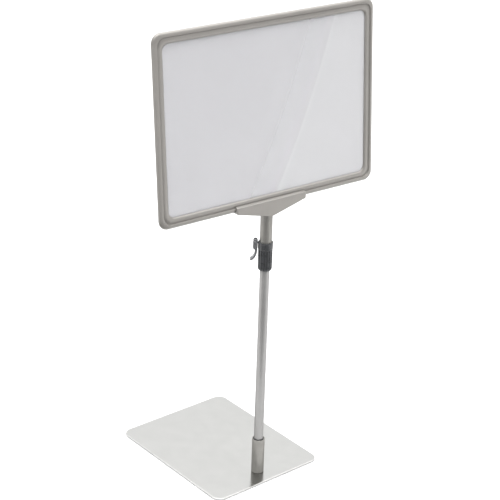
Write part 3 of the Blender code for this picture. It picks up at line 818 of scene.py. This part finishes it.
# %% [markdown]
# Behind the front wall, a web follows the same slope back to the rear of the saddle, and a boss round
# the upper tube takes the load down. Two upright ribs stiffen the hollows between them.


# %% Web, ribs and boss
WEB_HALF = 47 * MM
WEB_THICKNESS = 1.8 * MM
RIB_HALF = 0.9 * MM
RIB_PLACES = (-26 * MM, 26 * MM)


def web_sections():
    """A strip that follows the sloping lower edge, from the front wall to the back."""
    made = []
    for x in np.linspace(-WEB_HALF, WEB_HALF, 61):
        edge = lower_edge(x) + 0.2 * MM
        top = min(edge + WEB_THICKNESS, -0.6 * MM)
        corners = [(-1.0 * MM, edge), (9.2 * MM, edge, 0.5 * MM), (9.2 * MM, top, 0.4 * MM), (-1.0 * MM, top)]
        flat = filleted(corners, 3)
        made.append(np.column_stack([np.full(len(flat), x), flat]))
    return made


def rib(x):
    """An upright rib under the channel."""
    low, high = lower_edge(x) + 1.0 * MM, -1.0 * MM
    left, right = x - RIB_HALF, x + RIB_HALF
    outline = np.array([(left, low), (right, low), (right, high), (left, high)])
    return standing(slab(outline, -1.0 * MM, 8.9 * MM, 0.1 * MM))


BOSS_BOTTOM, BOSS_TOP = 369.5 * MM, 381 * MM
BOSS_BORE, BOSS_RADIUS = 7.8 * MM, 9.9 * MM
boss = [(BOSS_BORE, BOSS_BOTTOM, 0.5 * MM), (BOSS_RADIUS, BOSS_BOTTOM, 0.8 * MM)]
boss += [(BOSS_RADIUS, BOSS_TOP), (BOSS_BORE, BOSS_TOP)]
saddle_parts = [placed(channel, SIGN), placed(loft(web_sections()), SIGN)]
saddle_parts += [placed(turned(filleted(boss)), HEAD)]
saddle_parts += [placed(rib(x), SIGN) for x in RIB_PLACES]
piece("saddle_moulding", joined(*saddle_parts), "head", "grey_moulding", ["saddle"])
GRIP_FACE, GRIP_SEAT, GRIP_END = 11.5 * MM, 10.2 * MM, 6.6 * MM
GRIP_SHANK, GRIP_RECESS, GRIP_DEPTH = 1.1 * MM, 1.0 * MM, 0.9 * MM
grip = [(2.2 * MM, GRIP_FACE), (2.4 * MM, 11.3 * MM), (2.4 * MM, 10.4 * MM), (2.2 * MM, GRIP_SEAT)]
grip += [(GRIP_SHANK, GRIP_SEAT), (GRIP_SHANK, GRIP_END)]
back_screw = screw(grip, GRIP_FACE, GRIP_RECESS, -GRIP_DEPTH)
low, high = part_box("saddle_screw")
screw_place = HEAD @ Matrix.Translation((0, 0, (low[2] + high[2]) / 2))
screw_place = screw_place @ Matrix.Rotation(math.radians(-90), 4, "X")
piece("back_screw", placed(back_screw, screw_place), "head", "bright_steel", ["saddle_screw"])

# %% [markdown]
# ## Sign frame
#
# Each half of the frame is one moulded profile carried round a rounded rectangle. The front profile has
# a full round outer rim, a steep-sided groove, a flatter inner band and a slope to the window's edge.
# The corner radius shrinks evenly from the outer edge to the window, so the lines of the profile stay
# evenly spaced round the corner. Along the top rail the two halves stand apart by the slot that the
# pocket slides through.

# %% Frame halves
FRAME_HALF_WIDTH = 158 * MM
FRAME_HALF_HEIGHT = 114 * MM
FRAME_BORDER = 13 * MM
FRAME_CORNER, WINDOW_CORNER = 11.5 * MM, 8.5 * MM
GROOVE_INSET = 6.5 * MM
SLOT_HALF = 150.2 * MM
MATING_GAP, SEAT_GAP, SLOT_GAP = 0.15 * MM, 0.9 * MM, 1.0 * MM
MATING_INSET = 0.3 * MM
face = [
    (0.0, 3.2), (0.1, 2.7), (0.4, 2.1), (0.9, 1.5), (1.6, 0.95), (2.5, 0.5), (3.5, 0.18), (4.4, 0.02),
    (4.9, 0.05), (5.15, 0.4), (5.3, 1.0), (5.5, 1.45), (5.9, 1.6), (6.4, 1.45), (7.0, 1.1), (7.8, 0.7),
    (8.8, 0.42), (9.8, 0.35), (10.7, 0.37), (11.3, 0.5), (11.9, 0.95), (12.5, 1.5), (12.9, 1.95),
    (13.0, 2.45),
]
face = smooth_line(np.array(face) * MM, 3)


def frame_path(inset):
    """The frame's outline at an inset."""
    radius = FRAME_CORNER + (WINDOW_CORNER - FRAME_CORNER) * min(inset, FRAME_BORDER) / FRAME_BORDER
    return rounded_rectangle(FRAME_HALF_WIDTH - inset, FRAME_HALF_HEIGHT - inset, radius, 14, 10)


def frame_half(facing):
    """One half. facing is 1 for the front and -1 for the back, mirrored in the frame's middle plane."""
    middle = FRAME_DEPTH / 2
    mating, seat = middle - MATING_GAP, middle - SEAT_GAP
    loops = []
    for inset, depth in face:
        flat = frame_path(inset)
        loops.append((flat, np.full(len(flat), depth)))
    wall = frame_path(FRAME_BORDER)
    loops.append((wall, np.full(len(wall), seat)))
    groove = frame_path(GROOVE_INSET)
    loops.append((groove, np.full(len(groove), seat)))
    for inset in (GROOVE_INSET, MATING_INSET):
        flat = frame_path(inset)
        in_slot = (flat[:, 1] > FRAME_HALF_HEIGHT - FRAME_BORDER) & (np.abs(flat[:, 0]) < SLOT_HALF)
        loops.append((flat, np.where(in_slot, middle - SLOT_GAP, mating)))
    rings = []
    for flat, depth in loops:
        level = depth if facing > 0 else FRAME_DEPTH - depth
        rings.append(np.column_stack([flat[:, 0], level, flat[:, 1] + FRAME_HALF_HEIGHT]))
    return placed(loft(rings, wrap=True), FRAME)


piece("front_moulding", frame_half(1), "head", "grey_moulding", ["frame_front"], 40)
piece("back_moulding", frame_half(-1), "head", "grey_moulding", ["frame_back"], 40)

# %% [markdown]
# ## Pocket and card
#
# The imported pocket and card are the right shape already, thin folded film and flat card, so they only
# take their finishes.

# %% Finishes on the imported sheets
for name, finish in (("sign_pocket", "clear_sheet"), ("sign_card", "blank_card")):
    sheet = frame["nodes"][name]
    sheet.data.materials.clear()
    sheet.data.materials.append(MATERIALS[finish])

# %% [markdown]
# ## Studio
#
# The stand is on a white sweep under one very wide overhead light. The light from all round is strongest
# overhead and behind the stand, and weakest from the camera's side, so faces that look up are brighter
# than upright ones. A dark card in front, which only reflections see, puts the soft dark line down the
# middle of the tubes.


# %% Floor, reflector card and lights
def sheet_object(name, size, matrix, colour):
    """A flat stage card with a plain colour."""
    half = size / 2
    mesh = bpy.data.meshes.new(name)
    corners = [(-half, -half, 0), (half, -half, 0), (half, half, 0), (-half, half, 0)]
    mesh.from_pydata(corners, [], [(0, 1, 2, 3)])
    made_of = bpy.data.materials.new(name)
    made_of.use_nodes = True
    fill(made_of.node_tree.nodes["Principled BSDF"], Base_Color=linear(colour), Roughness=0.9)
    mesh.materials.append(made_of)
    made = bpy.data.objects.new(name, mesh)
    bpy.context.scene.collection.objects.link(made)
    made.matrix_world = matrix
    return made


FLOOR_SIZE = 12.0
FLAG_SIZE, FLAG_DISTANCE, FLAG_HEIGHT = 1.4, 1.0, 0.002
DIM_SIDE, BRIGHT_SIDE, ZENITH = 0.22, 1.15, 4.5
CAMERA_AZIMUTH = -0.7109459
CAMERA_ELEVATION = 0.4448625
CAMERA_ROLL = 0.0368291
CAMERA_DISTANCE = 1.8674136
CAMERA_TARGET = Vector((0, MAST_Y, 0.2748562))
back = Vector((
    math.sin(CAMERA_AZIMUTH) * math.cos(CAMERA_ELEVATION),
    -math.cos(CAMERA_AZIMUTH) * math.cos(CAMERA_ELEVATION),
    math.sin(CAMERA_ELEVATION),
))
flat_back = Vector((back.x, back.y, 0)).normalized()
sheet_object("floor", FLOOR_SIZE, Matrix.Identity(4), "b8b8b8")
flag_turn = flat_back.to_track_quat("X", "Z").to_matrix().to_4x4()
flag_place = Matrix.Translation(flat_back * FLAG_DISTANCE + Vector((0, 0, FLAG_HEIGHT)))
flag = sheet_object("flag", FLAG_SIZE, flag_place @ flag_turn, "1c1c1c")
for ray in ("visible_camera", "visible_diffuse", "visible_shadow", "visible_transmission"):
    setattr(flag, ray, False)
key = bpy.data.lights.new("overhead", "SUN")
key.energy = 3.3
key.angle = math.radians(70)
overhead = bpy.data.objects.new("overhead", key)
bpy.context.scene.collection.objects.link(overhead)
overhead.visible_glossy = False
overhead.rotation_euler = (math.radians(14), math.radians(-6), 0)

world = bpy.data.worlds.new("studio")
bpy.context.scene.world = world
world.use_nodes = True
sky = world.node_tree
way = node(sky, "ShaderNodeTexCoord").outputs["Generated"]
towards = tuple(-flat_back)
across = node(sky, "ShaderNodeVectorMath", {0: way, 1: towards}, operation="DOT_PRODUCT").outputs["Value"]
level = spread(sky, across, DIM_SIDE, BRIGHT_SIDE, -0.7, 0.6)
height = node(sky, "ShaderNodeSeparateXYZ", {0: way}).outputs["Z"]
zenith = spread(sky, height, 0.0, ZENITH, 0.6, 1.0)
strength = node(sky, "ShaderNodeMath", {0: level, 1: zenith}, operation="ADD").outputs["Value"]
sky.links.new(strength, sky.nodes["Background"].inputs["Strength"])
sky.nodes["Background"].inputs["Color"].default_value = (1, 1, 1, 1)
bpy.context.scene.view_settings.view_transform = "Standard"

# %% [markdown]
# ## Camera
#
# A long lens looks down at the stand from the front left. The sensor is 36 mm wide, and a little lens
# shift keeps the framing.

# %% Camera
right = (-back).cross(Vector((0, 0, 1))).normalized()
upward = right.cross(-back)
cosine, sine = math.cos(CAMERA_ROLL), math.sin(CAMERA_ROLL)
side = right * cosine + upward * sine
above = upward * cosine - right * sine
lens = bpy.data.cameras.new("camera")
lens.sensor_width = 36
lens.lens = 109.11
lens.shift_x = -0.02837
lens.shift_y = 0.06594
camera = bpy.data.objects.new("camera", lens)
bpy.context.scene.collection.objects.link(camera)
place = CAMERA_TARGET + back * CAMERA_DISTANCE
basis = Matrix((side, above, back)).transposed().to_4x4()
camera.matrix_world = Matrix.Translation(place) @ basis
bpy.context.scene.camera = camera
